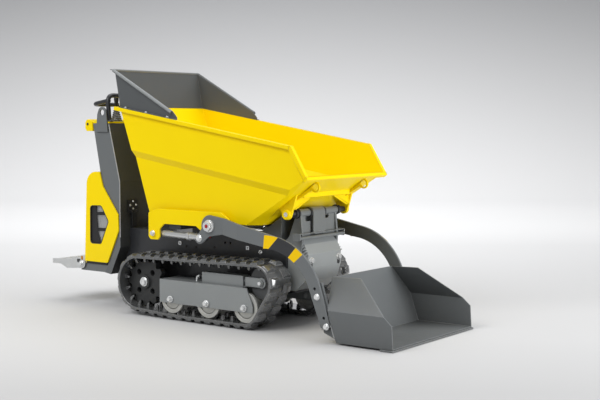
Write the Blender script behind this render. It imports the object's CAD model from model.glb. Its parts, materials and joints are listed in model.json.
import json
import math

import bmesh
import bpy
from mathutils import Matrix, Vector


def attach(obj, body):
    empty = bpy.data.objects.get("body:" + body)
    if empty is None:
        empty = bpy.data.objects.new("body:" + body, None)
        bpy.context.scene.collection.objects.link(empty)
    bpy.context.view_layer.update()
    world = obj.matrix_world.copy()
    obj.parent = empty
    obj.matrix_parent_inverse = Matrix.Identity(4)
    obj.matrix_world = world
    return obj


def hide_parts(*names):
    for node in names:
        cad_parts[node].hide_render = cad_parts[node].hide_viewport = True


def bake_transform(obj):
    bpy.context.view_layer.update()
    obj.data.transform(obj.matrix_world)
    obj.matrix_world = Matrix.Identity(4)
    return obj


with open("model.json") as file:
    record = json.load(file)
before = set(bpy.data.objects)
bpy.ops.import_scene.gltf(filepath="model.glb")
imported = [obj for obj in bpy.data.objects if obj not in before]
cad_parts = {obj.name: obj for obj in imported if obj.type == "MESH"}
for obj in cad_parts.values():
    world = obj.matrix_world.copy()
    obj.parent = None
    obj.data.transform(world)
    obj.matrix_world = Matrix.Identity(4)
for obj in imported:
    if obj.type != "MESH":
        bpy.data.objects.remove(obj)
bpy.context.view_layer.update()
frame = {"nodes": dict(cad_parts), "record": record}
nodes = frame["nodes"]
slotOf = {part["node"]: part["material_slot"] for part in frame["record"]["subparts"]}
scene = bpy.context.scene
print("frame loaded,", len(nodes), "nodes")


# camera, at the photograph's viewing angle
cameraSetup = {
    "place": (4.1349, -4.9526, 1.0955),
    "azimuth": 36.76,
    "elevation": 3.92,
    "lens": 68.7,
    "sensor": 36.0,
    "clipEnd": 200,
}


def makeCamera(setup):
    data = bpy.data.cameras.new("camera")
    data.lens = setup["lens"]
    data.sensor_width = setup["sensor"]
    data.sensor_fit = "HORIZONTAL"
    data.clip_end = setup["clipEnd"]
    camera = bpy.data.objects.new("camera", data)
    scene.collection.objects.link(camera)
    turn, lift = math.radians(setup["azimuth"]), math.radians(setup["elevation"])
    back = Vector((math.sin(turn) * math.cos(lift), -math.cos(turn) * math.cos(lift), math.sin(lift)))
    camera.location = setup["place"]
    camera.rotation_mode = "QUATERNION"
    camera.rotation_quaternion = (-back).to_track_quat("-Z", "Y")
    scene.camera = camera


makeCamera(cameraSetup)
print("camera set")


# shader node groups shared by the finishes; every socket is a plain value
def newGroup(name, inputs, *outputs):
    group = bpy.data.node_groups.new(name, "ShaderNodeTree")
    for label, default in inputs.items():
        socket = group.interface.new_socket(name=label, in_out="INPUT", socket_type="NodeSocketFloat")
        socket.default_value = default
    for label in outputs:
        group.interface.new_socket(name=label, in_out="OUTPUT", socket_type="NodeSocketFloat")
    start = group.nodes.new("NodeGroupInput")
    end = group.nodes.new("NodeGroupOutput")
    return group, start, end


def addNode(tree, kind, **values):
    node = tree.nodes.new(kind)
    for key, value in values.items():
        setattr(node, key, value)
    return node


def feed(tree, socket, value):
    # a number or a colour sets the socket, and another node's output is linked to it
    if isinstance(value, (int, float)):
        socket.default_value = value
    elif isinstance(value, tuple):
        socket.default_value = (*value, 1.0)
    else:
        tree.links.new(value, socket)


def mathNode(tree, operation, first, second, clamp=False):
    node = addNode(tree, "ShaderNodeMath", operation=operation, use_clamp=clamp)
    feed(tree, node.inputs[0], first)
    feed(tree, node.inputs[1], second)
    return node.outputs[0]


def noiseNode(tree, vector, scale, detail, roughness=0.55):
    node = addNode(tree, "ShaderNodeTexNoise")
    for label, value in (("Vector", vector), ("Scale", scale), ("Detail", detail), ("Roughness", roughness)):
        feed(tree, node.inputs[label], value)
    return node.outputs["Fac"]


wearSetup = {"samples": 6, "gain": 9.0, "patchFrom": 0.34, "patchGain": 3.2, "detail": 4.0, "roughness": 0.65}


def makeEdgeWear(setup):
    # a broken mask along the outward corners
    group, start, end = newGroup("edgeWear", {"Radius": 0.003, "Amount": 0.5, "Breakup": 40.0}, "Mask")
    place = addNode(group, "ShaderNodeTexCoord").outputs["Object"]
    geometry = addNode(group, "ShaderNodeNewGeometry")
    rounded = addNode(group, "ShaderNodeBevel", samples=setup["samples"])
    group.links.new(start.outputs["Radius"], rounded.inputs["Radius"])
    dot = addNode(group, "ShaderNodeVectorMath", operation="DOT_PRODUCT")
    group.links.new(rounded.outputs[0], dot.inputs[0])
    group.links.new(geometry.outputs["Normal"], dot.inputs[1])
    bend = mathNode(group, "SUBTRACT", 1.0, dot.outputs["Value"])
    corner = mathNode(group, "MULTIPLY", bend, setup["gain"], clamp=True)
    patches = noiseNode(group, place, start.outputs["Breakup"], setup["detail"], setup["roughness"])
    broken = mathNode(group, "SUBTRACT", patches, setup["patchFrom"])
    broken = mathNode(group, "MULTIPLY", broken, setup["patchGain"], clamp=True)
    worn = mathNode(group, "MULTIPLY", corner, broken)
    mask = mathNode(group, "MULTIPLY", worn, start.outputs["Amount"], clamp=True)
    group.links.new(mask, end.inputs["Mask"])
    return group


grainSetup = {
    "fineDetail": 2.0, "broadDetail": 5.0, "smearScale": 7.0, "smearDetail": 6.0, "smearRoughness": 0.7,
}


def makeGrain(setup):
    # fine height, broad shade and a smear for the gloss, all from the part's own coordinates
    group, start, end = newGroup("coatGrain", {"Fine": 700.0, "Broad": 5.0}, "Height", "Shade", "Smear")
    place = addNode(group, "ShaderNodeTexCoord").outputs["Object"]
    height = noiseNode(group, place, start.outputs["Fine"], setup["fineDetail"])
    shade = noiseNode(group, place, start.outputs["Broad"], setup["broadDetail"])
    smearScale = mathNode(group, "MULTIPLY", start.outputs["Broad"], setup["smearScale"])
    smear = noiseNode(group, place, smearScale, setup["smearDetail"], setup["smearRoughness"])
    for label, value in (("Height", height), ("Shade", shade), ("Smear", smear)):
        group.links.new(value, end.inputs[label])
    return group


dustSetup = {"patchScale": 9.0, "detail": 6.0, "roughness": 0.7}


def makeDust(setup):
    # a thin veil on faces that look up, thicker near the ground
    group, start, end = newGroup("dustVeil", {"Amount": 0.2, "Height": 0.5}, "Mask")
    place = addNode(group, "ShaderNodeTexCoord").outputs["Object"]
    split = addNode(group, "ShaderNodeSeparateXYZ")
    group.links.new(place, split.inputs[0])
    share = mathNode(group, "DIVIDE", split.outputs["Z"], start.outputs["Height"])
    low = mathNode(group, "SUBTRACT", 1.0, share, clamp=True)
    geometry = addNode(group, "ShaderNodeNewGeometry")
    facing = addNode(group, "ShaderNodeSeparateXYZ")
    group.links.new(geometry.outputs["Normal"], facing.inputs[0])
    halfUp = mathNode(group, "MULTIPLY", facing.outputs["Z"], 0.5)
    facingUp = mathNode(group, "ADD", halfUp, 0.5, clamp=True)
    patches = noiseNode(group, place, setup["patchScale"], setup["detail"], setup["roughness"])
    veil = mathNode(group, "MULTIPLY", mathNode(group, "MULTIPLY", low, facingUp), patches)
    mask = mathNode(group, "MULTIPLY", veil, start.outputs["Amount"], clamp=True)
    group.links.new(mask, end.inputs["Mask"])
    return group


creviceSetup = {"samples": 6, "from": 0.3, "gain": 1.7}


def makeCrevice(setup):
    # how closed in a place is, so that paint in deep gaps reads darker
    group, start, end = newGroup("creviceShade", {"Reach": 0.25, "Depth": 0.5}, "Mask")
    hidden = addNode(group, "ShaderNodeAmbientOcclusion", samples=setup["samples"])
    group.links.new(start.outputs["Reach"], hidden.inputs["Distance"])
    shut = mathNode(group, "SUBTRACT", 1.0, hidden.outputs["AO"], clamp=True)
    deep = mathNode(group, "SUBTRACT", shut, setup["from"], clamp=True)
    deep = mathNode(group, "MULTIPLY", deep, setup["gain"], clamp=True)
    mask = mathNode(group, "MULTIPLY", deep, start.outputs["Depth"], clamp=True)
    group.links.new(mask, end.inputs["Mask"])
    return group


edgeWear, coatGrain = makeEdgeWear(wearSetup), makeGrain(grainSetup)
dustVeil, creviceShade = makeDust(dustSetup), makeCrevice(creviceSetup)


def placeGroup(tree, group, **values):
    node = addNode(tree, "ShaderNodeGroup", node_tree=group)
    for key, value in values.items():
        node.inputs[key].default_value = value
    return node


def mixColour(tree, factor, first, second):
    # for colours the mix node takes its factor at socket 0 and the colours at 6 and 7, and answers at 2
    node = addNode(tree, "ShaderNodeMix", data_type="RGBA")
    for number, value in ((0, factor), (6, first), (7, second)):
        feed(tree, node.inputs[number], value)
    return node.outputs[2]


def rangeNode(tree, value, low, high, start=0.0, end=1.0):
    node = addNode(tree, "ShaderNodeMapRange")
    limits = {"Value": value, "From Min": start, "From Max": end, "To Min": low, "To Max": high}
    for label, limit in limits.items():
        feed(tree, node.inputs[label], limit)
    return node.outputs["Result"]


def newMaterial(name):
    material = bpy.data.materials.new(name)
    material.use_nodes = True
    tree = material.node_tree
    return material, tree, tree.nodes["Principled BSDF"]


def addBump(tree, shader, height, strength, distance):
    bump = addNode(tree, "ShaderNodeBump")
    bump.inputs["Strength"].default_value = strength
    bump.inputs["Distance"].default_value = distance
    tree.links.new(height, bump.inputs["Height"])
    tree.links.new(bump.outputs[0], shader.inputs["Normal"])


# each finish says what a painter or plater would choose; what it leaves out is as on the plain coat
plainCoat = {
    "rough": (0.28, 0.40), "metal": 0.0, "coat": 0.0, "gloss": 0.4, "crevice": 0.0, "reach": 0.35,
    "fine": 900.0, "broad": 4.0, "bump": 0.08, "wearAmount": 0.6, "wearRadius": 0.003, "dust": 0.06,
}
finishes = {
    "yellow_paint": {
        "colour": (0.931, 0.700, 0.001), "shade": (0.892, 0.648, 0.001), "wear": (0.98, 0.80, 0.16),
        "rough": (0.28, 0.38), "coat": 0.03, "gloss": 0.09, "fine": 650.0, "broad": 3.0, "bump": 0.05,
        "wearAmount": 0.35,
    },
    "grey_paint": {
        "colour": (0.145, 0.156, 0.162), "shade": (0.122, 0.132, 0.137), "wear": (0.42, 0.43, 0.43),
        "rough": (0.34, 0.46), "coat": 0.1, "crevice": 0.85, "bump": 0.10, "wearAmount": 0.75,
        "wearRadius": 0.0028, "dust": 0.10,
    },
    "light_grey_paint": {
        "colour": (0.249, 0.264, 0.267), "shade": (0.211, 0.224, 0.227), "wear": (0.52, 0.53, 0.53),
        "rough": (0.30, 0.42), "coat": 0.15, "wearRadius": 0.0028, "dust": 0.12,
    },
    "black_paint": {
        "colour": (0.026, 0.028, 0.032), "shade": (0.018, 0.019, 0.022), "wear": (0.16, 0.16, 0.17),
        "rough": (0.32, 0.46), "coat": 0.15, "wearRadius": 0.0026, "dust": 0.10,
    },
    "worn_steel": {
        "colour": (0.131, 0.139, 0.142), "shade": (0.099, 0.106, 0.109), "wear": (0.55, 0.55, 0.54),
        "rough": (0.30, 0.48), "metal": 0.3, "fine": 400.0, "broad": 9.0, "bump": 0.12, "wearAmount": 0.9,
        "wearRadius": 0.004, "dust": 0.12,
    },
    "cast_grey": {
        "colour": (0.075, 0.079, 0.083), "shade": (0.050, 0.053, 0.056), "wear": (0.30, 0.30, 0.30),
        "rough": (0.38, 0.55), "fine": 260.0, "broad": 8.0, "bump": 0.22, "dust": 0.25,
    },
    "rubber": {
        "colour": (0.066, 0.069, 0.072), "shade": (0.048, 0.051, 0.053), "wear": (0.42, 0.43, 0.44),
        "rough": (0.16, 0.26), "coat": 1.0, "gloss": 0.7, "crevice": 1.0, "reach": 0.09, "fine": 420.0,
        "broad": 2.5, "bump": 0.03, "wearRadius": 0.007, "dust": 0.20,
    },
    "zinc": {
        "colour": (0.80, 0.81, 0.82), "shade": (0.66, 0.67, 0.67), "wear": (0.80, 0.80, 0.80),
        "rough": (0.20, 0.30), "metal": 0.55, "fine": 500.0, "broad": 20.0, "bump": 0.06, "wearAmount": 0.5,
        "wearRadius": 0.0015, "dust": 0.05,
    },
    "chrome_rod": {
        "colour": (0.60, 0.61, 0.62), "shade": (0.50, 0.51, 0.52), "wear": (0.75, 0.75, 0.75),
        "rough": (0.10, 0.20), "metal": 1.0, "broad": 14.0, "bump": 0.03, "wearAmount": 0.4,
        "wearRadius": 0.0015, "dust": 0.03,
    },
    "black_plastic": {
        "colour": (0.017, 0.017, 0.018), "shade": (0.011, 0.011, 0.012), "wear": (0.08, 0.08, 0.08),
        "rough": (0.42, 0.56), "fine": 1100.0, "broad": 9.0, "bump": 0.22, "wearAmount": 0.4,
        "wearRadius": 0.002,
    },
    "galvanised": {
        "colour": (0.52, 0.53, 0.53), "shade": (0.38, 0.39, 0.39), "wear": (0.70, 0.70, 0.69),
        "rough": (0.36, 0.54), "metal": 0.85, "fine": 300.0, "broad": 30.0, "wearAmount": 0.5,
        "wearRadius": 0.002, "dust": 0.10,
    },
    "hoodYellow": {
        "colour": (0.97, 0.725, 0.001), "shade": (0.95, 0.69, 0.001), "wear": (0.98, 0.84, 0.20),
        "rough": (0.16, 0.22), "coat": 0.12, "gloss": 0.1, "fine": 800.0, "broad": 3.0, "bump": 0.02,
        "wearAmount": 0.2, "dust": 0.04,
    },
    "stripeYellow": {
        "colour": (0.900, 0.580, 0.001), "shade": (0.860, 0.540, 0.001), "wear": (0.96, 0.72, 0.12),
        "rough": (0.30, 0.40), "coat": 0.05, "gloss": 0.12, "fine": 650.0, "broad": 6.0, "bump": 0.05,
        "wearAmount": 0.3, "wearRadius": 0.002,
    },
    "guardGrey": {
        "colour": (0.086, 0.093, 0.097), "shade": (0.072, 0.078, 0.082), "wear": (0.40, 0.41, 0.41),
        "rough": (0.32, 0.44), "coat": 0.12, "bump": 0.10, "wearAmount": 0.8, "dust": 0.05,
    },
    "coverGrey": {
        "colour": (0.311, 0.328, 0.332), "shade": (0.260, 0.277, 0.281), "wear": (0.60, 0.61, 0.61),
        "coat": 0.2, "dust": 0.08,
    },
    "towerGrey": {
        "colour": (0.168, 0.180, 0.183), "shade": (0.134, 0.144, 0.148), "wear": (0.50, 0.51, 0.51),
        "coat": 0.2, "broad": 6.0, "wearAmount": 0.8,
    },
    "deckZinc": {
        "colour": (0.66, 0.67, 0.67), "shade": (0.52, 0.53, 0.53), "wear": (0.80, 0.80, 0.79),
        "rough": (0.36, 0.52), "metal": 0.4, "fine": 300.0, "broad": 30.0, "wearAmount": 0.5,
        "wearRadius": 0.002,
    },
    "sprocketDark": {
        "colour": (0.024, 0.026, 0.027), "shade": (0.016, 0.017, 0.018), "wear": (0.15, 0.15, 0.15),
        "rough": (0.36, 0.52), "fine": 260.0, "broad": 8.0, "bump": 0.2, "dust": 0.12,
    },
    "rollerSteel": {
        "colour": (0.52, 0.52, 0.49), "shade": (0.36, 0.36, 0.34), "wear": (0.78, 0.78, 0.75),
        "rough": (0.28, 0.44), "metal": 0.35, "fine": 300.0, "broad": 14.0, "bump": 0.10, "wearAmount": 0.8,
        "wearRadius": 0.004, "dust": 0.08,
    },
    "satinBarrel": {
        "colour": (0.60, 0.61, 0.62), "shade": (0.52, 0.53, 0.54), "wear": (0.70, 0.70, 0.70),
        "rough": (0.16, 0.24), "metal": 0.65, "coat": 0.1, "fine": 700.0, "broad": 10.0, "bump": 0.04,
        "wearAmount": 0.4, "wearRadius": 0.002, "dust": 0.04,
    },
    "weldGrey": {
        "colour": (0.46, 0.47, 0.48), "shade": (0.32, 0.33, 0.34), "wear": (0.55, 0.55, 0.55),
        "rough": (0.30, 0.45), "metal": 0.1, "coat": 0.1, "fine": 500.0, "broad": 60.0, "bump": 0.2,
        "wearRadius": 0.002, "dust": 0.04,
    },
}
greyPaint = finishes["grey_paint"]
finishes["columnGrey"] = {**greyPaint, "crevice": 1.0, "reach": 0.8}
finishes["shovelGrey"] = {**greyPaint, "colour": (0.128, 0.138, 0.143), "shade": (0.106, 0.115, 0.119)}
coatSetup = {
    "breakup": 12, "dustColour": (0.36, 0.35, 0.33), "dustHeight": 0.6, "dustRough": 0.3,
    "gapColour": (0.012, 0.012, 0.011), "coatRough": 0.12, "bumpDepth": 0.0006,
}


def makeFinish(name, look, setup):
    material, tree, shader = newMaterial(name)
    grain = placeGroup(tree, coatGrain, Fine=look["fine"], Broad=look["broad"])
    breakup = look["broad"] * setup["breakup"]
    wear = placeGroup(tree, edgeWear, Radius=look["wearRadius"], Amount=look["wearAmount"], Breakup=breakup)
    dust = placeGroup(tree, dustVeil, Amount=look["dust"], Height=setup["dustHeight"])
    base = mixColour(tree, grain.outputs["Shade"], look["shade"], look["colour"])
    if look["crevice"]:
        gap = placeGroup(tree, creviceShade, Reach=look["reach"], Depth=look["crevice"])
        base = mixColour(tree, gap.outputs["Mask"], base, setup["gapColour"])
    worn = mixColour(tree, wear.outputs["Mask"], base, look["wear"])
    dusted = mixColour(tree, dust.outputs["Mask"], worn, setup["dustColour"])
    tree.links.new(dusted, shader.inputs["Base Color"])
    rough = rangeNode(tree, grain.outputs["Smear"], *look["rough"])
    dustRough = mathNode(tree, "MULTIPLY", dust.outputs["Mask"], setup["dustRough"])
    tree.links.new(mathNode(tree, "ADD", rough, dustRough, clamp=True), shader.inputs["Roughness"])
    shader.inputs["Metallic"].default_value = look["metal"]
    shader.inputs["Coat Weight"].default_value = look["coat"]
    shader.inputs["Coat Roughness"].default_value = setup["coatRough"]
    shader.inputs["Specular IOR Level"].default_value = look["gloss"]
    addBump(tree, shader, grain.outputs["Height"], look["bump"], setup["bumpDepth"])
    return material


# moulded plastics in one colour, a little deeper in places
mouldings = {
    "capRed": {"colour": (0.42, 0.015, 0.02), "deep": 0.7, "fine": 900.0, "broad": 30.0, "rough": 0.35},
    "amberLens": {"colour": (0.55, 0.21, 0.005), "deep": 0.75, "fine": 500.0, "broad": 60.0, "rough": 0.2},
}


def makeMoulding(name, look):
    material, tree, shader = newMaterial(name)
    grain = placeGroup(tree, coatGrain, Fine=look["fine"], Broad=look["broad"])
    deep = tuple(part * look["deep"] for part in look["colour"])
    tree.links.new(mixColour(tree, grain.outputs["Shade"], deep, look["colour"]), shader.inputs["Base Color"])
    shader.inputs["Roughness"].default_value = look["rough"]
    return material


finishOf = {name: makeFinish(name, {**plainCoat, **look}, coatSetup) for name, look in finishes.items()}
for name, look in mouldings.items():
    finishOf[name] = makeMoulding(name, look)
print("finishes mixed,", len(finishOf))


# the solid nodes keep their shape; their sharp corners are eased and they take their finish
easing = {
    "yellow_paint": 0.0022, "grey_paint": 0.0018, "light_grey_paint": 0.0018, "black_paint": 0.0015,
    "worn_steel": 0.0015, "cast_grey": 0.002, "rubber": 0.003, "zinc": 0.0012, "chrome_rod": 0.001,
    "black_plastic": 0.0015, "galvanised": 0.001,
}
ownEasing = {"arm_right": 0.0035, "arm_left": 0.0035, "shovel": 0.002}
ownFinish = {
    "engine_hood": "hoodYellow", "lift_barrels": "satinBarrel", "spill_guard": "guardGrey",
    "front_cover": "coverGrey", "platform": "deckZinc", "column": "columnGrey", "shovel": "shovelGrey",
}
for word in ("right", "left"):
    ownFinish["sprocket_" + word] = "sprocketDark"
    for number in (1, 2, 3):
        ownFinish["roller_%s_%d" % (word, number)] = "rollerSteel"
cornerSetup = {"merge": 0.00002, "flat": 0.6, "sharp": 32, "segments": 2, "keepFacets": ("skip",)}


def easeCorners(piece, width, setup):
    weld = piece.modifiers.new("weld", "WELD")
    weld.merge_threshold = setup["merge"]
    if piece.name not in setup["keepFacets"]:
        flat = piece.modifiers.new("flat", "DECIMATE")
        flat.decimate_type = "DISSOLVE"
        flat.angle_limit = math.radians(setup["flat"])
    bevel = piece.modifiers.new("bevel", "BEVEL")
    bevel.width = width
    bevel.segments = setup["segments"]
    bevel.limit_method = "ANGLE"
    bevel.angle_limit = math.radians(setup["sharp"])
    bevel.use_clamp_overlap = False
    bevel.harden_normals = True


for name, piece in nodes.items():
    piece.data.materials.clear()
    piece.data.materials.append(finishOf[ownFinish.get(name, slotOf[name])])
    easeCorners(piece, ownEasing.get(name, easing[slotOf[name]]), cornerSetup)
print("solid nodes dressed")


# detail pieces, built point by point in the machine's own frame; lengths are given in millimetres
leftward = Vector((0, 1, 0))
forward = Vector((1, 0, 0))
upward = Vector((0, 0, 1))


def spot(x, y, z):
    return Vector((x, y, z)) / 1000


def outward(y):
    return Vector((0, 1 if y > 0 else -1, 0))


def bothSides(y):
    # the machine's right side is at negative Y
    return ((-y, "right"), (y, "left"))


def addRing(mesh, centre, across, over, radius, count, turn=0.0):
    ring = []
    for step in range(count):
        angle = 2 * math.pi * step / count + turn
        ring.append(mesh.verts.new(centre + (across * math.cos(angle) + over * math.sin(angle)) * radius))
    return ring


def joinRings(mesh, low, high):
    for step in range(len(low)):
        after = (step + 1) % len(low)
        mesh.faces.new((low[step], low[after], high[after], high[step]))


def joinStack(mesh, rings):
    # a solid with a face at either end
    for low, high in zip(rings, rings[1:]):
        joinRings(mesh, low, high)
    mesh.faces.new(list(reversed(rings[0])))
    mesh.faces.new(rings[-1])


def joinLoop(mesh, rings):
    # a solid that runs back into itself
    for low, high in zip(rings, rings[1:] + rings[:1]):
        joinRings(mesh, low, high)


def crossAxes(axis):
    axis = axis.normalized()
    helper = upward if abs(axis.z) < 0.9 else forward  # whichever is well off the axis
    across = helper.cross(axis).normalized()
    return across, axis.cross(across)


def addLathe(mesh, profile, origin, axis, count=40, turn=0.0):
    # profile: (radius, distance along the axis) pairs in millimetres, from the back to the front
    tip = 0.01  # stands for a radius of nought
    across, over = crossAxes(axis)
    axis = axis.normalized()
    rings = []
    for radius, along in profile:
        centre = origin + axis * (along / 1000)
        rings.append(addRing(mesh, centre, across, over, max(radius, tip) / 1000, count, turn))
    joinStack(mesh, rings)


# a bolt's proportions: heights as shares of the flats, edges as shares of those heights
boltShape = {
    "head": 0.5, "shoulder": 0.82, "crown": 0.84, "washer": 0.12, "washerEdge": 0.7, "washerSlope": 0.4,
    "seat": 0.9, "stud": 0.3, "studTip": 1.5,
}


def addHexBolt(mesh, origin, axis, flats, turn, washer, stud=0.0):
    # a chamfered hexagon head on a washer; flats is the width across flats in millimetres
    shape = boltShape
    corner = flats / math.sqrt(3)
    high = flats * shape["head"]
    washerHigh = flats * shape["washer"]
    if washer:
        radius = flats * washer
        rim = radius - washerHigh * shape["washerSlope"]
        disc = [(radius, 0), (radius, washerHigh * shape["washerEdge"]), (rim, washerHigh)]
        addLathe(mesh, disc, origin, axis, count=32)
    base = origin + axis.normalized() * (washerHigh * shape["seat"] / 1000)
    head = [(corner, 0), (corner, high * shape["shoulder"]), (corner * shape["crown"], high)]
    addLathe(mesh, head, base, axis, count=6, turn=turn)
    if stud:
        radius, tip = flats * shape["stud"], shape["studTip"]
        addLathe(mesh, [(radius, 0), (radius, stud - tip), (radius - tip, stud)], base, axis, count=24)


def addPlate(mesh, outline, depth):
    # outline: points in order; depth: the vector to the other face
    low = [mesh.verts.new(point) for point in outline]
    high = [mesh.verts.new(point + depth) for point in outline]
    mesh.faces.new(list(reversed(low)))
    mesh.faces.new(high)
    joinRings(mesh, low, high)


def addSlabXZ(mesh, outline, low, high):
    # an outline in X and Z, from one Y to another
    addPlate(mesh, [spot(x, low, z) for x, z in outline], Vector((0, (high - low) / 1000, 0)))


def addSlabYZ(mesh, outline, low, high):
    # an outline in Y and Z, from one X to another
    addPlate(mesh, [spot(low, y, z) for y, z in outline], Vector(((high - low) / 1000, 0, 0)))


def boxOutline(left, right, low, high):
    return [(left, low), (right, low), (right, high), (left, high)]


def arcPoints(centre, radius, start, end, steps):
    points = []
    for step in range(steps + 1):
        angle = math.radians(start + (end - start) * step / steps)
        points.append((centre[0] + radius * math.cos(angle), centre[1] + radius * math.sin(angle)))
    return points


def addTube(mesh, path, radius, count=16, closed=False):
    # path: points in metres; radius: millimetres, or one for each point
    radii = radius if isinstance(radius, list) else [radius] * len(path)
    rings = []
    total = len(path)
    normal = None
    for step, point in enumerate(path):
        before = path[step - 1] if step or closed else point
        after = path[(step + 1) % total] if step < total - 1 or closed else point
        along = (after - before).normalized()
        if normal is None:
            normal = crossAxes(along)[0]
        normal = (normal - along * normal.dot(along)).normalized()
        rings.append(addRing(mesh, point, normal, along.cross(normal), radii[step] / 1000, count))
    if closed:
        joinLoop(mesh, rings)
    else:
        joinStack(mesh, rings)


def roundedPath(points, radius, steps=8):
    # turns each inner corner of a path into a bend; radius in millimetres
    legShare = 0.48  # the most of a leg that a bend may take
    path = [points[0]]
    for before, corner, after in zip(points, points[1:], points[2:]):
        toBefore, toAfter = (before - corner).normalized(), (after - corner).normalized()
        half = toBefore.angle(toAfter) / 2
        longest = min((before - corner).length, (after - corner).length) * legShare
        reach = min(radius / 1000 / math.tan(half), longest)
        start, end = corner + toBefore * reach, corner + toAfter * reach
        for step in range(steps + 1):
            share = step / steps
            path.append(start * (1 - share) ** 2 + corner * 2 * share * (1 - share) + end * share ** 2)
    path.append(points[-1])
    return path


def finishPiece(name, mesh, body, slotName, finish=None, ease=0.0, replaced=(), sharp=35, bend=None):
    # bend: the joined body, and the points where the piece starts and ends turning with it
    bmesh.ops.recalc_face_normals(mesh, faces=mesh.faces)
    for face in mesh.faces:
        face.smooth = True
    for edge in mesh.edges:
        if len(edge.link_faces) == 2 and edge.calc_face_angle(0) > math.radians(sharp):
            edge.smooth = False
    data = bpy.data.meshes.new(name)
    mesh.to_mesh(data)
    mesh.free()
    data.materials.append(finishOf[finish or slotName])
    piece = bpy.data.objects.new(name, data)
    scene.collection.objects.link(piece)
    if ease:
        bevel = piece.modifiers.new("bevel", "BEVEL")
        bevel.width = ease / 1000
        bevel.segments = cornerSetup["segments"]
        bevel.limit_method = "ANGLE"
        bevel.angle_limit = math.radians(sharp)
        bevel.harden_normals = True
    if bend:
        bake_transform(piece)
    else:
        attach(piece, body)
    if replaced:
        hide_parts(*replaced)


# where the wheels and the main pins stand, seen from the side
pinPlaces = {
    "rollers": ((-198, 116), (65, 116), (328, 116)), "idler": (409, 250), "sprocket": (-447, 186),
    "hinge": (546, 615), "armPivot": (111, 540), "liftLever": (38, 470), "liftFoot": (-314, 477),
}


# bolts on the cover, the latch and the platform's pivots, and the slots below the cover's bolts
frameBoltSetup = {
    "cover": (602, 125, 367), "coverFlats": 25, "pivot": (-1024, 247, 244), "pivotFlats": 24,
    "slotHalf": 12, "slotDrop": 40, "slotDeep": 2, "slotProud": 0.6,
    "latch": (-690, -140, 604), "latchSpread": ((24, 0), (0, 22), (-24, 0), (0, -22)),
    "latchHead": ((6.5, 0), (6.5, 1.2), (5.6, 3.0), (3.4, 4.2), (0, 4.6)),
}


def makeFrameBolts(setup):
    bolts, slots = bmesh.new(), bmesh.new()
    x, y, z = setup["cover"]
    half, drop = setup["slotHalf"], setup["slotDrop"]
    for side in (-y, y):
        addHexBolt(bolts, spot(x, side, z), forward, setup["coverFlats"], turn=0.3, washer=0.72)
        slot = arcPoints((side, z), half, 0, 180, 12) + arcPoints((side, z - drop + half), half, 180, 360, 12)
        addSlabYZ(slots, slot, x - setup["slotDeep"], x + setup["slotProud"])
    x, y, z = setup["pivot"]
    for side in (-y, y):
        addHexBolt(bolts, spot(x, side, z), outward(side), setup["pivotFlats"], turn=0.2, washer=0.8)
    x, y, z = setup["latch"]
    for across, rise in setup["latchSpread"]:
        addLathe(bolts, setup["latchHead"], spot(x, y + across, z + rise), forward, count=20)
    finishPiece("frameBolts", bolts, "chassis", "zinc", replaced=("frame_bolts",))
    finishPiece("coverSlots", slots, "chassis", "black_plastic")


# bolts that hold the shovel to the arms
shovelBoltSetup = {
    "places": ((835.4, 227.8), (891.8, 84.5)), "y": 396, "flats": 22, "through": 30, "stud": 16,
}


def makeShovelBolts(setup):
    mesh = bmesh.new()
    flats = setup["flats"]
    for side in (-setup["y"], setup["y"]):
        for x, z in setup["places"]:
            addHexBolt(mesh, spot(x, side, z), outward(side), flats, turn=0.4, washer=0.75)
            inner = spot(x, side - math.copysign(setup["through"], side), z)
            addHexBolt(mesh, inner, -outward(side), flats, turn=0.1, washer=0.75, stud=setup["stud"])
    finishPiece("shovelBolts", mesh, "loader", "zinc", replaced=("shovel_bolts",))


# arm pivot bosses with their caps, and the bolts at the lift cylinders' ends
bossSetup = {
    "y": 374, "leverFlats": 24,
    "boss": ((34, 0), (34, 7), (32.5, 9), (28, 9.6), (26.5, 10.5), (26.5, 23), (25, 25.2), (11, 25.4),
             (10, 23.5), (0, 23.5)),
    "studTurns": (0.6, 2.7, 4.8), "studRing": 30.2, "studFoot": 9, "stud": ((2.6, 0), (2.6, 2.2), (1.8, 3)),
    "cap": ((9.4, 22), (9.4, 25.2), (8.2, 27.4), (5.0, 28.6), (0, 28.9)),
}


def makeArmBosses(setup):
    bosses, caps = bmesh.new(), bmesh.new()
    for side in (-setup["y"], setup["y"]):
        out = outward(side)
        x, z = pinPlaces["armPivot"]
        addLathe(bosses, setup["boss"], spot(x, side, z), out, count=48)
        for angle in setup["studTurns"]:
            across, rise = setup["studRing"] * math.cos(angle), setup["studRing"] * math.sin(angle)
            foot = spot(x + across, side, z + rise) + out * (setup["studFoot"] / 1000)
            addLathe(bosses, setup["stud"], foot, out, count=12)
        addLathe(caps, setup["cap"], spot(x, side, z), out, count=28)
        x, z = pinPlaces["liftLever"]
        addHexBolt(bosses, spot(x, side, z), out, setup["leverFlats"], turn=0.25, washer=0.82)
    finishPiece("armBosses", bosses, "loader", "zinc", replaced=("arm_bosses",))
    finishPiece("armBossCaps", caps, "loader", "black_plastic", "capRed")


# hazard stripes painted on the bend of both arms
stripeSetup = {
    "centre": (516, 160), "inner": 287.6, "outer": 356.4, "y": 396, "proud": 0.5, "steps": 10,
    "front": ((502.4, 523.2), (591.0, 510.6), (529.5, 443.9), (495.6, 447.2)),
    "rear": ((705.7, 468.3), (748.1, 436.0), (695.0, 391.9), (655.3, 411.8)),
}


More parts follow.
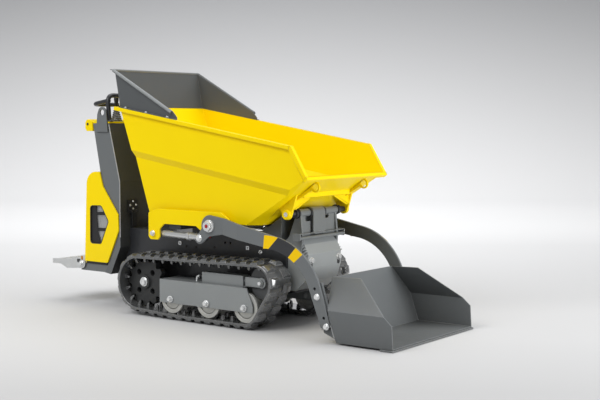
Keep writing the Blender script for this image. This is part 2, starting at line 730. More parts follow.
def addStripe(mesh, setup, side, corners):
    # corners: outer start, outer end, inner end, inner start, as angles round the bend
    outerStart, outerEnd, innerEnd, innerStart = corners
    outline = arcPoints(setup["centre"], setup["outer"], outerStart, outerEnd, setup["steps"])
    outline += arcPoints(setup["centre"], setup["inner"], innerEnd, innerStart, setup["steps"])
    addPlate(mesh, [spot(x, side, z) for x, z in outline], outward(side) * (setup["proud"] / 1000))


def makeStripes(setup):
    def anglesOf(corners):
        x, z = setup["centre"]
        return [math.degrees(math.atan2(point[1] - z, point[0] - x)) for point in corners]

    front, rear = anglesOf(setup["front"]), anglesOf(setup["rear"])
    between = [front[1], rear[0], rear[3], front[2]]
    for side, word in bothSides(setup["y"]):
        yellow, black = bmesh.new(), bmesh.new()
        addStripe(yellow, setup, side, front)
        addStripe(yellow, setup, side, rear)
        addStripe(black, setup, side, between)
        finishPiece("stripeYellow" + word.title(), yellow, "loader", "yellow_paint", "stripeYellow")
        finishPiece("stripeBlack" + word.title(), black, "loader", "black_paint")


# hexagon heads over the roller axles and the idler forks, and caps on the sprocket hubs
wheelBoltSetup = {
    "rollerY": 356, "rollerFlats": 22, "forkY": 313, "forkFlats": 20, "hubY": 302,
    "hub": ((27, 0), (27, 3), (25.5, 4.2), (19, 4.2), (19, 13), (17.4, 15), (8, 15.2), (7, 13.6), (0, 13.6)),
}


def makeWheelBolts(setup):
    mesh = bmesh.new()
    for side in (-setup["rollerY"], setup["rollerY"]):
        for number, (x, z) in enumerate(pinPlaces["rollers"]):
            foot = spot(x, side, z)
            addHexBolt(mesh, foot, outward(side), setup["rollerFlats"], turn=0.5 * number, washer=0)
    finishPiece("rollerBolts", mesh, "chassis", "zinc")
    for side, word in bothSides(1):
        x, z = pinPlaces["sprocket"]
        mesh = bmesh.new()
        addLathe(mesh, setup["hub"], spot(x, side * setup["hubY"], z), outward(side))
        finishPiece("hubCap" + word.title(), mesh, word + "_sprocket", "zinc")
        x, z = pinPlaces["idler"]
        mesh = bmesh.new()
        foot = spot(x, side * setup["forkY"], z)
        addHexBolt(mesh, foot, outward(side), setup["forkFlats"], turn=0.2, washer=0)
        finishPiece("forkBolt" + word.title(), mesh, word + "_fork", "zinc")


# handlebar with rounded bends, a lower grip behind it and sockets at its feet
handlebarSetup = {
    "foot": (-799, 218, 1091), "rise": (-15, 0, 158), "back": (-132, 0, -52), "radius": 13.5, "bend": 46,
    "gripDrop": (6, 0, -30), "gripInset": 8.1, "gripRadius": 12.69,
    "socketRise": 4, "socket": ((21, 0), (21, 4), (19.5, 5), (15, 9)),
}


def makeHandlebar(setup):
    mesh = bmesh.new()
    x, y, z = setup["foot"]
    loops = []
    for side in (-y, y):
        foot = spot(x, side, z)
        top = foot + spot(*setup["rise"])
        loops.append((foot, top, top + spot(*setup["back"])))
    (footRight, topRight, backRight), (footLeft, topLeft, backLeft) = loops
    addTube(mesh, roundedPath([footRight, topRight, topLeft, footLeft], setup["bend"]), setup["radius"], 20)
    lower = spot(*setup["gripDrop"])
    inset = spot(0, setup["gripInset"], 0)
    grip = [topRight + lower + inset, backRight + inset, backLeft - inset, topLeft + lower - inset]
    addTube(mesh, roundedPath(grip, setup["bend"]), setup["gripRadius"], 20)
    for side in (-y, y):
        addLathe(mesh, setup["socket"], spot(x, side, z + setup["socketRise"]), upward, count=32)
    finishPiece("handlebarTube", mesh, "chassis", slotOf["handlebar"], replaced=("handlebar",))


# lever bellows, folded rubber cones
bellowsSetup = {
    "place": (-878, 85, 1095), "folds": 6, "foot": 35, "tip": 15, "height": 76, "flange": 4,
    "deep": 3.5, "fold": ((0.0, -1.0), (0.3, 0.4), (0.5, 0.6), (0.7, 0.4)),
    "neck": ((13, 73), (10, 76), (7, 76)), "bendFrom": 4, "bendTo": 66,
}


def makeBellows(setup):
    x, y, z = setup["place"]
    foot, flange = setup["foot"], setup["flange"]
    profile = [(foot + flange, 0), (foot + flange, flange)]
    for fold in range(setup["folds"]):
        for share, push in setup["fold"]:
            along = (fold + share) / setup["folds"]
            radius = foot + (setup["tip"] - foot) * along
            profile.append((radius + push * setup["deep"], flange + along * (setup["height"] - 2 * flange)))
    profile += setup["neck"]
    for side, word in bothSides(y):
        mesh = bmesh.new()
        addLathe(mesh, profile, spot(x, side, z), upward)
        bend = (word + "_lever", spot(x, side, z + setup["bendFrom"]), spot(x, side, z + setup["bendTo"]))
        slotName = slotOf["lever_bellows"]
        replaced = ("lever_bellows",) if word == "right" else ()
        finishPiece("bellows" + word.title(), mesh, "chassis", slotName, replaced=replaced, bend=bend)


makeFrameBolts(frameBoltSetup)
makeShovelBolts(shovelBoltSetup)
makeArmBosses(bossSetup)
makeStripes(stripeSetup)
makeWheelBolts(wheelBoltSetup)
makeHandlebar(handlebarSetup)
makeBellows(bellowsSetup)
print("first detail pieces made")


strapSpan = (-66, 40)  # the Y range of the strap round the hinge tube


# hinge tower: cheeks, two front plates, the strap round the tube with its toe, and the plate behind
towerSetup = {
    "foot": 488, "cheekY": (150, 164),
    "cheek": ((466, 400), (566, 400), (574, 480), (562, 603), (530, 603), (486, 490), (466, 470)),
    "front": (546, 558), "plates": (
        ((-150, 488), (-71, 488), (-71, 570), (-112, 570), (-116, 575), (-116, 600), (-150, 600)),
        ((46, 488), (150, 488), (150, 600), (96, 600), (96, 585), (90, 577), (46, 577)),
    ),
    "strapOuter": 29, "strapInner": 21.4, "strapFoot": 26, "strapDrop": 55,
    "toeHigh": 27, "toeLow": 12, "toeSlope": 10, "back": (520, 525), "backHalf": 151, "backTop": 590,
}


def makeHingeTower(setup):
    mesh = bmesh.new()
    x, z = pinPlaces["hinge"]
    foot = setup["foot"]
    near, far = setup["cheekY"]
    for low, high in ((-far, -near), (near, far)):
        addSlabXZ(mesh, setup["cheek"], low, high)
    for outline in setup["plates"]:
        addSlabYZ(mesh, outline, *setup["front"])
    low, high = strapSpan
    outer, inner = setup["strapOuter"], setup["strapInner"]
    front, back = foot + setup["strapFoot"], z - setup["strapDrop"]
    strap = [(x + outer, front)] + arcPoints((x, z), outer, 0, 180, 20) + [(x - outer, back)]
    strap += [(x - inner, back)] + arcPoints((x, z), inner, 180, 0, 20) + [(x + inner, front)]
    addSlabXZ(mesh, strap, low, high)
    toeHigh, toeLow, slope = foot + setup["toeHigh"], foot + setup["toeLow"], setup["toeSlope"]
    toe = [(low, toeHigh), (low + slope, toeLow), (high - slope, toeLow), (high, toeHigh)]
    addSlabYZ(mesh, toe, x + inner, x + outer)
    half = setup["backHalf"]
    addSlabYZ(mesh, boxOutline(-half, half, foot, setup["backTop"]), *setup["back"])
    slotName = slotOf["hinge_tower"]
    finishPiece("hingeTower", mesh, "chassis", slotName, "towerGrey", ease=1.2, replaced=("hinge_tower",))


# tube round the hinge shaft, with collars at its ends and beside the strap
tubeSetup = {
    "half": 182, "radius": 21, "bore": 15.3, "edge": 1,
    "collarGap": 4, "collarLong": 9, "collarHigh": 7, "collarFit": 0.2,
}


def sleeveProfile(bore, radius, length, edge):
    # a tube with its outer edges broken
    near = [(bore, 0), (radius - edge, 0), (radius, edge)]
    return near + [(radius, length - edge), (radius - edge, length), (bore, length)]


def makeHingeTube(setup):
    x, z = pinPlaces["hinge"]
    half, radius, edge = setup["half"], setup["radius"], setup["edge"]
    mesh = bmesh.new()
    tube = sleeveProfile(setup["bore"], radius, 2 * half, edge)
    addLathe(mesh, tube, spot(x, -half, z), leftward, count=48)
    finishPiece("hingeTube", mesh, "chassis", slotOf["hinge_tower"], "towerGrey")
    mesh = bmesh.new()
    low, high = strapSpan
    gap, length = setup["collarGap"], setup["collarLong"]
    collar = sleeveProfile(radius + setup["collarFit"], radius + setup["collarHigh"], length, edge)
    for y in (-half, low - gap - length, high + gap, half - length):
        addLathe(mesh, collar, spot(x, y, z), leftward)
    finishPiece("hingeCollars", mesh, "chassis", "black_paint")


# folded channel across the foot of the tower, with its end caps
channelSetup = {
    "half": 204, "foot": (542, 477), "nose": (580, 486), "noseRadius": 9,
    "fold": ((556, 495), (548, 497), (548, 506), (582, 506), (583, 510), (542, 510)),
    "inset": 5, "capThick": 5.5, "capRadius": 8, "capFoot": (541, 474), "capTop": (541, 512),
    "capCorners": ((582, 482), (582, 504)),
}


def makeHingeChannel(setup):
    mesh = bmesh.new()
    half, inset, thick = setup["half"], setup["inset"], setup["capThick"]
    nose = arcPoints(setup["nose"], setup["noseRadius"], -90, 90, 12)
    addSlabXZ(mesh, [setup["foot"], *nose, *setup["fold"]], -half + inset, half - inset)
    lower, upper = setup["capCorners"]
    cap = arcPoints(lower, setup["capRadius"], -90, 0, 5) + arcPoints(upper, setup["capRadius"], 0, 90, 5)
    for low, high in ((-half, -half + thick), (half - thick, half)):
        addSlabXZ(mesh, [setup["capFoot"], *cap, setup["capTop"]], low, high)
    finishPiece("hingeChannel", mesh, "chassis", slotOf["hinge_tower"], "towerGrey", ease=0.8)


# folded shield around the tip ram, under the slope of the skip
shieldSetup = {
    "front": 456, "rear": 330, "half": 188, "foot": 469, "high": 598, "thick": 5, "flange": 16,
    "wing": ((330, 469), (451, 469), (451, 595), (372, 538), (330, 534)),
}


def makeRamShield(setup):
    mesh = bmesh.new()
    front, rear, half, foot, thick = (setup[key] for key in ("front", "rear", "half", "foot", "thick"))
    addSlabYZ(mesh, boxOutline(-half, half, foot, setup["high"]), front - thick, front)
    for side in (-half, half):
        inner = side - math.copysign(thick, side)
        addSlabXZ(mesh, setup["wing"], *sorted((side, inner)))
        out = side + math.copysign(setup["flange"], side)
        addSlabXZ(mesh, boxOutline(rear, front, foot, foot + thick), *sorted((side, out)))
    finishPiece("ramShield", mesh, "chassis", slotOf["chassis_frame"], "guardGrey", ease=1.0)


# slats along the sloping side edges of the front cover
slatSetup = {
    "y": 149, "out": 9, "start": (601, 406), "end": (556, 468), "count": 6,
    "outline": ((0, 0), (3, -5), (-34, -26), (-34, -20)),
}


def makeSlats(setup):
    mesh = bmesh.new()
    (startX, startZ), (endX, endZ) = setup["start"], setup["end"]
    for side in (-setup["y"], setup["y"]):
        for number in range(setup["count"]):
            share = number / (setup["count"] - 1)
            x = startX + (endX - startX) * share
            z = startZ + (endZ - startZ) * share
            outline = [(x + along, z + rise) for along, rise in setup["outline"]]
            addSlabXZ(mesh, outline, side, side + math.copysign(setup["out"], side))
    finishPiece("coverSlats", mesh, "chassis", slotOf["front_cover"], "coverGrey", ease=0.5)


# wire mesh behind the hood's windows
wireSetup = {"box": (-895, -775, 368, 602), "y": 237, "pitch": 6, "wire": 1.6, "rowDeep": 1.44}


def makeHoodWires(setup):
    mesh = bmesh.new()
    left, right, low, high = setup["box"]
    wire, pitch = setup["wire"], setup["pitch"]
    for side in (-setup["y"], setup["y"]):
        for x in range(left, right, pitch):
            addSlabXZ(mesh, boxOutline(x, x + wire, low, high), side, side - math.copysign(wire, side))
        back = side - math.copysign(setup["rowDeep"], side)
        for z in range(low, high, pitch):
            addSlabXZ(mesh, boxOutline(left, right, z, z + wire), side, back)
    finishPiece("hoodWires", mesh, "chassis", "zinc")


# weld beads on the column's front corners and behind the shovel's ears
weldSetup = {
    "column": ((-697, 420), (-697, 746), (-782, 1078)), "columnY": 240,
    "shovel": ((932, 30), (894, 145)), "shovelY": (369, 383),
    "bead": 3.4, "pitch": 5.0, "steps": 4, "least": 0.86, "ripple": 0.2,
    "wander": ((0.25, 1.7), (0.2, 0.61)), "sideways": 0.4,
}


def addWeld(mesh, start, end, setup):
    # a bead of overlapping ripples between two points
    steps = setup["steps"]
    count = max(steps, int((end - start).length * 1000 / setup["pitch"] * steps))
    path, radii = [], []
    for step in range(count + 1):
        wander = sum(size * math.sin(step * rate) for size, rate in setup["wander"])
        path.append(start.lerp(end, step / count) + spot(wander, wander * setup["sideways"], 0))
        swell = setup["least"] + setup["ripple"] * abs(math.sin(math.pi * step / steps))
        radii.append(setup["bead"] * swell)
    addTube(mesh, path, radii, 10)


def makeWelds(setup):
    mesh = bmesh.new()
    for side in (-setup["columnY"], setup["columnY"]):
        corners = [spot(x, side, z) for x, z in setup["column"]]
        for start, end in zip(corners, corners[1:]):
            addWeld(mesh, start, end, setup)
    finishPiece("columnWelds", mesh, "chassis", slotOf["column"], "weldGrey", sharp=60)
    mesh = bmesh.new()
    for y in setup["shovelY"]:
        for side in (-y, y):
            low, high = (spot(x, side, z) for x, z in setup["shovel"])
            addWeld(mesh, low, high, setup)
    finishPiece("shovelWelds", mesh, "loader", slotOf["shovel"], "weldGrey", sharp=60)


# square pads, plugs, clips and port caps on the chassis sides
sideSetup = {
    "y": 160, "pads": ((-295.5, 405.6), (201.4, 409.9)),
    "pad": (11, 4, 5),  # half width, hole radius and thickness
    "plugs": ((-249.5, 391), (-177, 390.5), (-39.5, 397)),
    "plug": ((8, 0), (8, 1.6), (6.4, 2.6), (3, 3.2), (0, 3.3)),
    "clipAt": (292, 394), "clip": ((6, 0), (11, 0), (11, 7), (10, 9), (7, 9), (6, 7), (4, 2), (0, 2)),
    "ports": ((-137, 449, 5), (-98, 455, 9), (-74, 456, 9)),
    "port": ((1, 0), (1, 12), (0.8, 14), (0, 14.6)),  # radii as shares of each port's own
}


def addSquareWasher(mesh, centre, out, half, hole, thick, count=32):
    rings = []
    for radius, along in ((None, 0), (None, thick), (hole, thick), (hole, 0)):
        ring = []
        for step in range(count):
            angle = 2 * math.pi * (step + 0.5) / count
            across, rise = math.cos(angle), math.sin(angle)
            reach = radius or half / max(abs(across), abs(rise))
            ring.append(mesh.verts.new(centre + spot(across * reach, 0, rise * reach) + out * (along / 1000)))
        rings.append(ring)
    joinLoop(mesh, rings)


def makeSideFittings(setup):
    pads, plugs, clips, ports = (bmesh.new() for _ in range(4))
    for side in (-setup["y"], setup["y"]):
        out = outward(side)
        for x, z in setup["pads"]:
            addSquareWasher(pads, spot(x, side, z), out, *setup["pad"])
        for x, z in setup["plugs"]:
            addLathe(plugs, setup["plug"], spot(x, side, z), out, count=24)
        x, z = setup["clipAt"]
        addLathe(clips, setup["clip"], spot(x, side, z), out, count=28)
        for x, z, radius in setup["ports"]:
            profile = [(radius * share, along) for share, along in setup["port"]]
            addLathe(ports, profile, spot(x, side, z), out, count=24)
    finishPiece("chassisPads", pads, "chassis", "light_grey_paint", "satinBarrel", ease=0.6)
    finishPiece("chassisPlugs", plugs, "chassis", "black_plastic")
    finishPiece("chassisClips", clips, "chassis", "zinc")
    finishPiece("portCaps", ports, "chassis", "black_plastic", "capRed")


makeHingeTower(towerSetup)
makeHingeTube(tubeSetup)
makeHingeChannel(channelSetup)
makeRamShield(shieldSetup)
makeSlats(slatSetup)
makeHoodWires(wireSetup)
makeWelds(weldSetup)
makeSideFittings(sideSetup)
print("second detail pieces made")


# rubber belts: a band round the wheels, staggered rows of lugs outside and guide horns inside
# edge: (height over the wheels, inset from the belt's side), from the inner face to the outer one
# lug and horn: (height, half length, inset at the outer end, inset at the inner end), from foot to top
beltSetup = {
    "rollerRadius": 82, "idlerRadius": 88, "sprocketRadius": 138,
    "y": 270, "half": 90, "thick": 16, "step": 6.0,
    "edge": ((0.2, 3), (3, 0), (11, 0), (14.5, 2), (16, 6)),
    "lugs": 36, "lugOuter": 88, "lugInner": 22,
    "lug": ((-2, 23, 0, 0), (1, 21, 0.5, 1), (8.8, 16.5, 5, 4), (15.84, 13, 20, 9), (17.6, 10.5, 25, 12)),
    "hornOuter": 43, "hornInner": 27,
    "horn": ((1, 9.5, 0, 0), (-15, 7.5, 1.5, 1.5), (-23, 5.5, 3.5, 3.5), (-25, 3.5, 5.5, 5.5)),
}


def beltPath(hubs, radii):
    # returns the loop's length and a function that gives the point and outward direction at a distance
    hubs = [Vector(hub) for hub in hubs]
    count = len(hubs)
    normals, runs = [], []
    for step in range(count):
        after = (step + 1) % count
        run = hubs[after] - hubs[step]
        drop = radii[step] - radii[after]
        normals.append(math.atan2(run.y, run.x) - math.acos(drop / run.length))
        runs.append(math.sqrt(run.length ** 2 - drop ** 2))
    sweeps = [(normals[step] - normals[step - 1]) % (2 * math.pi) for step in range(count)]
    lengths = []
    for step in range(count):
        lengths += [radii[step] * sweeps[step], runs[step]]
    total = sum(lengths)

    def at(distance):
        rest = distance % total
        part = 0
        while part < 2 * count - 1 and rest >= lengths[part]:
            rest -= lengths[part]
            part += 1
        wheel, straight = part // 2, part % 2
        turn = normals[wheel] if straight else normals[wheel - 1] + sweeps[wheel] * rest / lengths[part]
        out = Vector((math.cos(turn), math.sin(turn)))
        point = hubs[wheel] + out * radii[wheel]
        if straight:
            point = point + Vector((-out.y, out.x)) * rest
        return point, out

    return total, at


def makeBelt(setup, side, word):
    rear, _, front = pinPlaces["rollers"]
    hubs = (rear, front, pinPlaces["idler"], pinPlaces["sprocket"])
    roller = setup["rollerRadius"]
    total, at = beltPath(hubs, (roller, roller, setup["idlerRadius"], setup["sprocketRadius"]))
    mesh = bmesh.new()
    middle = side * setup["y"]

    def corner(distance, out, across):
        point, away = at(distance)
        place = point + away * out
        return mesh.verts.new(spot(place.x, middle + across, place.y))

    def addBlock(centre, outer, inner, levels, base):
        inward = math.copysign(1, inner - outer)
        loops = []
        for out, reach, insetOuter, insetInner in levels:
            first, last = outer + insetOuter * inward, inner - insetInner * inward
            plan = ((-1, first), (0, first), (1, first), (1, last), (0, last), (-1, last))
            loops.append([corner(centre + along * reach, base + out, across) for along, across in plan])
        joinStack(mesh, loops)

    edge = [(out, inset - setup["half"]) for out, inset in setup["edge"]]
    section = edge + [(out, -across) for out, across in reversed(edge)]
    steps = int(total / setup["step"])
    rings = []
    for step in range(steps):
        rings.append([corner(total * step / steps, out, across) for out, across in section])
    joinLoop(mesh, rings)
    pitch = total / setup["lugs"]
    for number in range(setup["lugs"]):
        for share, hand in ((0.0, side), (0.5, -side)):
            centre = (number + share) * pitch
            addBlock(centre, hand * setup["lugOuter"], hand * setup["lugInner"], setup["lug"], setup["thick"])
            addBlock(centre, hand * setup["hornOuter"], hand * setup["hornInner"], setup["horn"], 0)
    replaced = ("track_belt_" + word,)
    finishPiece("belt" + word.title(), mesh, "chassis", "rubber", ease=1.6, replaced=replaced, sharp=28)


# dark seals below the hood's sides, silver ends and bosses on the skip's hinge pin, and the skip's cross rail
edgeSetup = {
    "seal": ((-988, 247), (-814, 247), (-806, 268), (-988, 268)), "sealY": 238.5, "sealThick": 3,
    "pinY": 272.2, "pinEnd": ((12, 0), (12, 1.5), (11, 2.4), (7.5, 2.4), (7, 0.6), (0, 0.5)),
    "bossInset": 10, "boss": ((27, 0), (27, 7), (25.5, 9.5), (23, 10.6), (13, 10.6), (12, 9.5)),
    "rail": ((611, 723), (618, 728), (618, 702), (611, 700)), "railHalf": 209,
}


def makeEdgeDetails(setup):
    mesh = bmesh.new()
    for side in (-setup["sealY"], setup["sealY"]):
        addSlabXZ(mesh, setup["seal"], side, side - math.copysign(setup["sealThick"], side))
    finishPiece("hoodSeals", mesh, "chassis", "rubber", "black_plastic", ease=0.5)
    ends, bosses = bmesh.new(), bmesh.new()
    x, z = pinPlaces["hinge"]
    for side in (-setup["pinY"], setup["pinY"]):
        addLathe(ends, setup["pinEnd"], spot(x, side, z), outward(side), count=32)
        foot = spot(x, side - math.copysign(setup["bossInset"], side), z)
        addLathe(bosses, setup["boss"], foot, outward(side))
    finishPiece("hingePinEnds", ends, "chassis", "zinc")
    finishPiece("hingeBosses", bosses, "chassis", "yellow_paint")
    mesh = bmesh.new()
    addSlabXZ(mesh, setup["rail"], -setup["railHalf"], setup["railHalf"])
    finishPiece("skipCrossRail", mesh, "skip_tub", "yellow_paint", ease=1.2)


# bright rims and dished faces on the rollers
rollerSetup = {
    "face": 336, "rim": ((72, -4), (72, -1.5), (73.5, 0.4), (76, 0.9), (79.5, 0.9), (80.8, -0.4), (80.8, -4)),
    "dish": ((57, -5), (57, -4.4), (44, -2.6), (41, -1.2), (30, -0.8)),
}


def makeRollerFaces(setup):
    for side, word in bothSides(1):
        for number, (x, z) in enumerate(pinPlaces["rollers"], 1):
            mesh = bmesh.new()
            centre = spot(x, side * setup["face"], z)
            addLathe(mesh, setup["rim"], centre, outward(side), count=64)
            addLathe(mesh, setup["dish"], centre, outward(side), count=48)
            name, body = "rollerFace%s%d" % (word.title(), number), "%s_roller_%d" % (word, number)
            finishPiece(name, mesh, body, "zinc", "rollerSteel")


# hood windows: board, bars and lip in black, and the corners of the opening rounded
windowSetup = {
    "y": 250, "outline": ((-939, 372), (-849, 374), (-785, 509), (-845, 599), (-937, 596)),
    "round": 20, "steps": 8, "deep": 9, "lap": 3, "lipRadius": 3.2, "lipIn": 1.5,
    "board": ((-944, 366), (-944, 604), (-893, 604), (-886, 500), (-880, 440), (-866, 396), (-843, 366)),
    "boardIn": 6, "boardThick": 3, "barIn": 7, "barThick": 4,
    "bars": (
        ((-897, 541), (-792, 545), (-812, 564), (-897, 559)),
        ((-884, 446), (-806, 450), (-796, 469), (-886, 465)),
    ),
}


def cornerArc(before, corner, after, radius, steps):
    # returns the middle of the rounding and the points along it
    toBefore, toAfter = (before - corner).normalized(), (after - corner).normalized()
    half = toBefore.angle(toAfter) / 2
    reach = radius / math.tan(half)
    middle = corner + (toBefore + toAfter).normalized() * (radius / math.sin(half))
    start, end = corner + toBefore * reach, corner + toAfter * reach
    arc = []
    for step in range(steps + 1):
        arc.append(middle + (start.lerp(end, step / steps) - middle).normalized() * radius)
    return middle, arc


def makeHoodWindows(setup):
    black, yellow, lips = bmesh.new(), bmesh.new(), bmesh.new()
    corners = [Vector(point) for point in setup["outline"]]
    for side in (-setup["y"], setup["y"]):
        inward = -outward(side)
        boardY, barY = side + inward.y * setup["boardIn"], side + inward.y * setup["barIn"]
        boardDeep, barDeep = inward * (setup["boardThick"] / 1000), inward * (setup["barThick"] / 1000)
        addPlate(black, [spot(x, boardY, z) for x, z in setup["board"]], boardDeep)
        for bar in setup["bars"]:
            addPlate(black, [spot(x, barY, z) for x, z in bar], barDeep)
        ring = []
        for number, corner in enumerate(corners):
            before, after = corners[number - 1], corners[(number + 1) % len(corners)]
            middle, arc = cornerArc(before, corner, after, setup["round"], setup["steps"])
            ring += arc
            fillet = [corner + (corner - middle).normalized() * setup["lap"]] + arc
            depth = inward * (setup["deep"] / 1000)
            addPlate(yellow, [spot(point.x, side, point.y) for point in fillet], depth)
        lipY = side + inward.y * setup["lipIn"]
        path = [spot(point.x, lipY, point.y) for point in ring]
        addTube(lips, path, setup["lipRadius"], 10, closed=True)
    finishPiece("hoodGrille", black, "chassis", "black_plastic", ease=0.8, replaced=("hood_grille",))
    finishPiece("hoodWindowCorners", yellow, "chassis", "yellow_paint")
    finishPiece("hoodWindowLips", lips, "chassis", "black_plastic")


# slanted fins behind the wire mesh
finSetup = {"box": (-900, -772, 366, 604), "y": 231, "pitch": 22, "lean": 46, "deep": 5, "ridge": 4.5}


def makeHoodFins(setup):
    mesh = bmesh.new()
    left, right, low, high = setup["box"]
    wide = setup["pitch"]
    lean = spot(setup["lean"], 0, high - low)
    for side in (-setup["y"], setup["y"]):
        ridge = side + math.copysign(setup["ridge"], side)
        back = side - math.copysign(setup["deep"], side)
        for x in range(left - setup["lean"], right, wide):
            plan = ((x, side), (x + wide / 2, ridge), (x + wide, side), (x + wide / 2, back))
            foot = [mesh.verts.new(spot(along, y, low)) for along, y in plan]
            joinStack(mesh, [foot, [mesh.verts.new(vert.co + lean) for vert in foot]])
    finishPiece("hoodFins", mesh, "chassis", "galvanised", sharp=10)


# bolts of the spill guard on the sloping rim, and its wing bolts at the rear
guardSetup = {
    "places": (-524, -364, -204), "y": 358, "flats": 12, "rim": (-577, 1175), "slope": 0.166, "proud": 5.4,
    "wingAt": (-584, 338, 1203), "wingHub": ((7, 0), (7, 5), (6, 8), (3, 9)),
    "wing": ((-2, 3), (-4, 13), (-2, 18), (3, 18), (5, 12), (2, 3)), "wingOff": 4, "wingThick": 4,
}


def makeGuardBolts(setup):
    mesh = bmesh.new()
    tilt = math.atan(setup["slope"])
    normal = Vector((math.sin(tilt), 0, math.cos(tilt)))
    rimX, rimZ = setup["rim"]
    for side in (-setup["y"], setup["y"]):
        for number, x in enumerate(setup["places"]):
            z = rimZ - (x - rimX) * setup["slope"] + setup["proud"]
            addHexBolt(mesh, spot(x, side, z), normal, setup["flats"], turn=0.4 * number, washer=0.8)
    x, y, z = setup["wingAt"]
    for side in (-y, y):
        foot = spot(x, side, z)
        addLathe(mesh, setup["wingHub"], foot, -forward, count=20)
        for lift in (-1, 1):
            wing = [foot + spot(-setup["wingOff"], across, lift * rise) for across, rise in setup["wing"]]
            addPlate(mesh, wing, -forward * (setup["wingThick"] / 1000))
    finishPiece("guardBolts", mesh, "skip_tub", "zinc", replaced=("guard_bolts",))


# rolled edges along the guard's folds
rollSetup = {
    "rear": (-617, 1391), "front": (-172, 1152), "y": 357.5, "drop": 9.5, "radius": 13, "wall": 2,
    "from": 110, "to": -10, "steps": 14, "top": (-616, 1386), "topHalf": 350, "topRadius": 7,
}


def makeGuardRolls(setup):
    mesh = bmesh.new()
    (rear, high), (front, low) = setup["rear"], setup["front"]
    start, end, steps = setup["from"], setup["to"], setup["steps"]
    centre = (setup["y"], -setup["drop"])
    section = arcPoints(centre, setup["radius"], start, end, steps)
    section += arcPoints(centre, setup["radius"] - setup["wall"], end, start, steps)
    along = spot(front - rear, 0, low - high)
    for side in (-1, 1):
        addPlate(mesh, [spot(rear, side * y, high + z) for y, z in section], along)
    x, z = setup["top"]
    path = [spot(x, y, z) for y in (-setup["topHalf"], 0, setup["topHalf"])]
    addTube(mesh, path, setup["topRadius"], 20)
    finishPiece("guardRolls", mesh, "skip_tub", slotOf["spill_guard"], "towerGrey")


# bolts at the lift cylinders' feet, and the smooth sleeves over their glands
sleeveSetup = {
    "footY": 365, "footFlats": 22, "y": 330,
    "sleeve": ((12.5, 236), (23.4, 236), (23.4, 253), (20, 255), (20, 310), (21.2, 312), (21.2, 322),
               (18, 326), (12.5, 326)),
}


def makeLiftDetails(setup):
    bolts, sleeves = bmesh.new(), bmesh.new()
    x, z = pinPlaces["liftFoot"]
    leverX, leverZ = pinPlaces["liftLever"]
    axis = (spot(leverX, 0, leverZ) - spot(x, 0, z)).normalized()
    for side in (-1, 1):
        foot = spot(x, side * setup["footY"], z)
        addHexBolt(bolts, foot, outward(side), setup["footFlats"], turn=0.3, washer=0.72)
        addLathe(sleeves, setup["sleeve"], spot(x, side * setup["y"], z), axis)
    finishPiece("liftFootBolts", bolts, "chassis", "zinc")
    finishPiece("liftSleeves", sleeves, "lift_barrel_pair", "zinc", "satinBarrel")


# screws in the console's end caps, reflectors and brackets at the platform, fittings on the tensioners
smallSetup = {
    "capAt": (-956, 245, 1080), "screw": ((8, 0), (8, 1.5), (6.5, 3.2), (3.4, 3.6), (3.0, 1.8), (0, 1.8)),
    "reflectorAt": (-1017, 246.5, 278), "reflectorThick": 4,
    "reflector": ((-6, -11), (6, -11), (7, -9), (7, 9), (5, 11), (-6, 11), (-7, 9), (-7, -9)),
    "bracketAt": (-1046, 246.5, 254), "bracketThick": 2.5,
    "bracket": ((-15, -2), (12, -16), (14, 10), (8, 15), (-12, 15), (-15, 11)),
    "fitting": ((-26, 252), (-44, 252), (-48, 230)), "fittingY": 298, "fittingBend": 10, "fittingRadius": 5.5,
    "nut": ((8, 0), (8, 5), (6.8, 6)), "nipple": ((4, 0), (5.4, 2), (5.4, 5), (3, 8)),
}


def makeSmallFittings(setup):
    screws, lamps, plates, nipples = (bmesh.new() for _ in range(4))
    for side in (-1, 1):
        out = outward(side)
        x, y, z = setup["capAt"]
        addLathe(screws, setup["screw"], spot(x, side * y, z), out, count=24)
        for mesh, key in ((lamps, "reflector"), (plates, "bracket")):
            x, y, z = setup[key + "At"]
            outline = [spot(x + across, side * y, z + rise) for across, rise in setup[key]]
            addPlate(mesh, outline, out * (setup[key + "Thick"] / 1000))
        path = [spot(x, side * setup["fittingY"], z) for x, z in setup["fitting"]]
        addTube(nipples, roundedPath(path, setup["fittingBend"]), setup["fittingRadius"], 14)
        addLathe(nipples, setup["nut"], path[0], -forward, count=6)
        addLathe(nipples, setup["nipple"], path[-1], -upward, count=16)
    finishPiece("capScrews", screws, "chassis", "black_plastic")
    finishPiece("reflectors", lamps, "step", "black_plastic", "amberLens", ease=0.8)
    finishPiece("platformBrackets", plates, "step", "black_paint", ease=0.5)
    finishPiece("tensionFittings", nipples, "chassis", "zinc")


for side, word in bothSides(1):
    makeBelt(beltSetup, side, word)
makeEdgeDetails(edgeSetup)
makeRollerFaces(rollerSetup)
makeHoodWindows(windowSetup)
makeHoodFins(finSetup)
makeGuardBolts(guardSetup)
makeGuardRolls(rollSetup)
makeLiftDetails(sleeveSetup)
makeSmallFittings(smallSetup)
print("third detail pieces made")


# pale floor that curves up into a backdrop; its tones run from the front edge to the wall
studio = {
    "halfWidth": 16.0,
    "front": 9.0,
    "wallAt": 9.0,
    "curve": 5.0,
    "curveSteps": 24,
    "height": 9.0,
    "toneFrom": -3.2,
    "toneTo": 9.0,
    "tones": ((0.0, 0.44), (1.0, 0.74), (0.11, 0.50), (0.2, 0.60), (0.27, 0.645), (0.56, 0.55), (0.8, 0.62)),
    "tint": (1.0, 1.004, 1.014),
    "top": (0.335, 0.338, 0.347),
    "topAt": 3.2,
    "rough": 0.6,
    "gloss": 0.2,
    "world": 0.49,
}


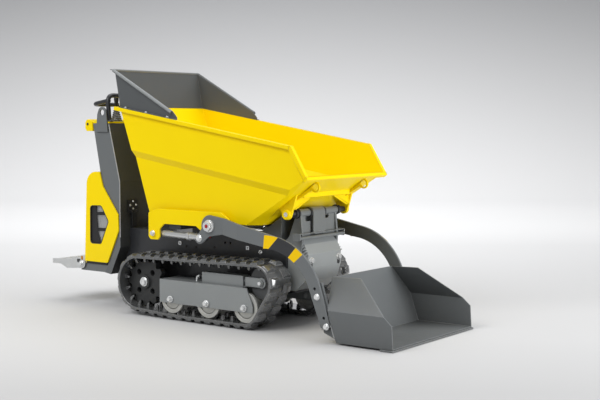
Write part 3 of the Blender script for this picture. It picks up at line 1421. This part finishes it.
def makeFloorMesh(setup, away):
    across = Vector((away.y, -away.x, 0))
    profile = [(-setup["front"], 0.0), (setup["wallAt"], 0.0)]
    curve, steps = setup["curve"], setup["curveSteps"]
    for step in range(1, steps + 1):
        angle = math.radians(90) * step / steps
        profile.append((setup["wallAt"] + curve * math.sin(angle), curve * (1 - math.cos(angle))))
    profile.append((setup["wallAt"] + curve, curve + setup["height"]))
    mesh = bmesh.new()
    rows = []
    for along, rise in profile:
        row = []
        for sideways in (-setup["halfWidth"], setup["halfWidth"]):
            place = away * along + across * sideways
            row.append(mesh.verts.new((place.x, place.y, rise)))
        rows.append(row)
    for low, high in zip(rows, rows[1:]):
        face = mesh.faces.new((low[0], low[1], high[1], high[0]))
        face.smooth = True
    data = bpy.data.meshes.new("studioFloor")
    mesh.to_mesh(data)
    mesh.free()
    return data


def makeFloorFinish(setup, away):
    material, tree, shader = newMaterial("studioFloor")
    place = addNode(tree, "ShaderNodeTexCoord").outputs["Object"]
    depth = addNode(tree, "ShaderNodeVectorMath", operation="DOT_PRODUCT")
    tree.links.new(place, depth.inputs[0])
    depth.inputs[1].default_value = away
    ramp = addNode(tree, "ShaderNodeValToRGB")
    share = rangeNode(tree, depth.outputs["Value"], 0.0, 1.0, setup["toneFrom"], setup["toneTo"])
    tree.links.new(share, ramp.inputs["Fac"])
    stops = ramp.color_ramp.elements
    for number, (position, tone) in enumerate(setup["tones"]):
        stop = stops[number] if number < 2 else stops.new(position)
        stop.position = position
        stop.color = (*(tone * part for part in setup["tint"]), 1.0)
    split = addNode(tree, "ShaderNodeSeparateXYZ")
    tree.links.new(place, split.inputs[0])
    height = rangeNode(tree, split.outputs["Z"], 0.0, 1.0, 0.0, setup["topAt"])
    tree.links.new(mixColour(tree, height, ramp.outputs["Color"], setup["top"]), shader.inputs["Base Color"])
    shader.inputs["Roughness"].default_value = setup["rough"]
    shader.inputs["Specular IOR Level"].default_value = setup["gloss"]
    return material


def makeStage(setup):
    turn = math.radians(cameraSetup["azimuth"])
    away = Vector((-math.sin(turn), math.cos(turn), 0))
    floor = bpy.data.objects.new("studioFloor", makeFloorMesh(setup, away))
    scene.collection.objects.link(floor)
    floor.data.materials.append(makeFloorFinish(setup, away))


def makeWorld(setup):
    world = bpy.data.worlds.new("studioWorld")
    world.use_nodes = True
    background = world.node_tree.nodes["Background"]
    background.inputs["Color"].default_value = (1.0, 1.0, 1.0, 1.0)
    background.inputs["Strength"].default_value = setup["world"]
    scene.world = world


softboxes = {
    "keyBox": {"place": (-0.7, -5.0, 5.0), "aim": (0.0, 0.0, 0.5), "size": (5.0, 3.0), "power": 240},
    "frontBox": {"place": (5.4, 0.4, 0.8), "aim": (0.5, 0.0, 0.65), "size": (3.0, 1.4), "power": 168},
    "topBox": {"place": (-0.2, 1.0, 5.6), "aim": (0.1, 0.0, 0.6), "size": (6.0, 5.0), "power": 205},
    "wallBox": {"place": (-2.4, 3.2, 6.0), "aim": (-7.5, 10.0, 1.2), "size": (9.0, 3.0), "power": 820},
}


def makeSoftbox(name, setup):
    data = bpy.data.lights.new(name, "AREA")
    data.shape = "RECTANGLE"
    data.size, data.size_y = setup["size"]
    data.energy = setup["power"]
    lamp = bpy.data.objects.new(name, data)
    scene.collection.objects.link(lamp)
    lamp.location = setup["place"]
    lamp.rotation_mode = "QUATERNION"
    lamp.rotation_quaternion = (Vector(setup["aim"]) - Vector(setup["place"])).to_track_quat("-Z", "Y")


makeStage(studio)
makeWorld(studio)
for name, setup in softboxes.items():
    makeSoftbox(name, setup)
scene.view_settings.view_transform = "Standard"
print("studio lit")

print("size written")
